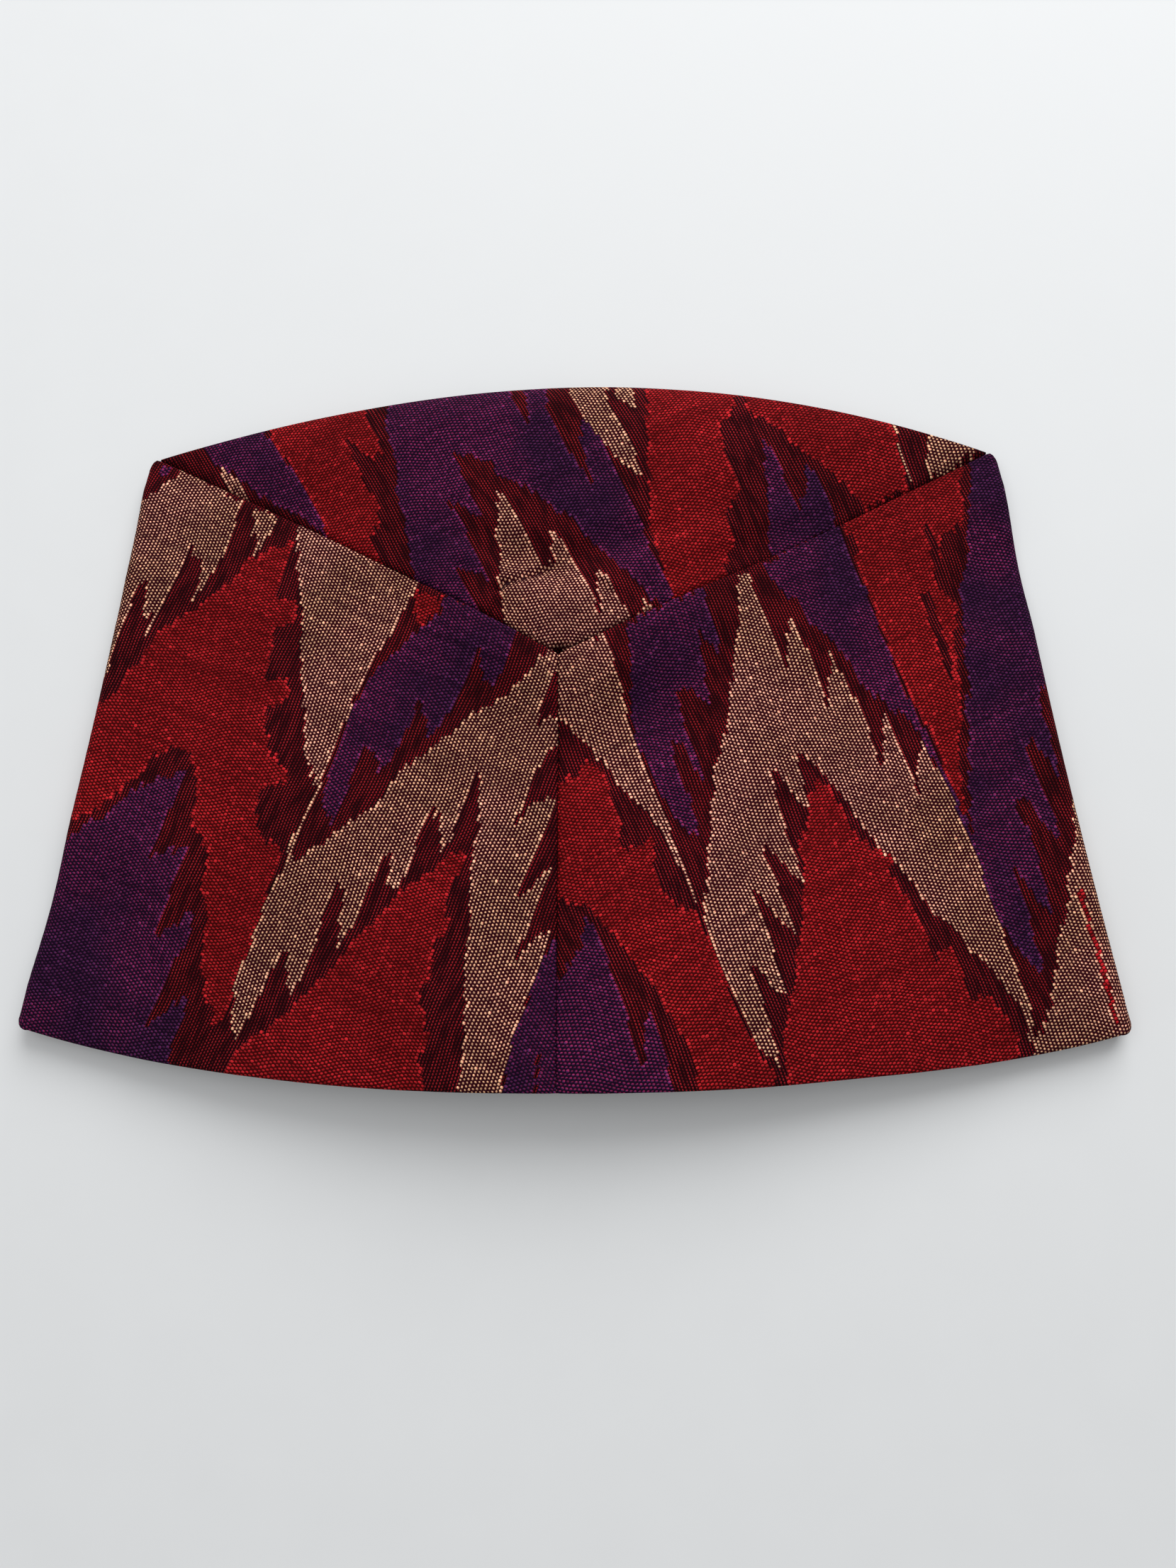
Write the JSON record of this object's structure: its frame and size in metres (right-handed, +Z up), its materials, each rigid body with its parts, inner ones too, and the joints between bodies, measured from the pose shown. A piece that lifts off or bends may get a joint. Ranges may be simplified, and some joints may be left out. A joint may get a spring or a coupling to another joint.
{
  "type": "dhaka topi",
  "caption": "Soft woven cap folded flat on its tall back panel, with a notched front band seamed down the centre and a crown sheet under an arched top edge.",
  "frame": {"origin": "middle of the footprint, on the surface that the folded cap lies on", "axes": "+X to the wearer's left along the folded mouth, +Y from the mouth to the arched crown edge, +Z up from the back panel to the front"},
  "size_m": [0.28, 0.1864, 0.021],
  "materials": {
    "band_cloth": "handwoven dobby-dotted cotton in red, purple and beige flame shapes on a near-black and maroon ground",
    "crown_cloth": "the same handwoven cotton, cut so that its flames lean the other way"
  },
  "bodies": {
    "root": {"band": "band_cloth", "crown": "crown_cloth"}
  },
  "joints": []
}
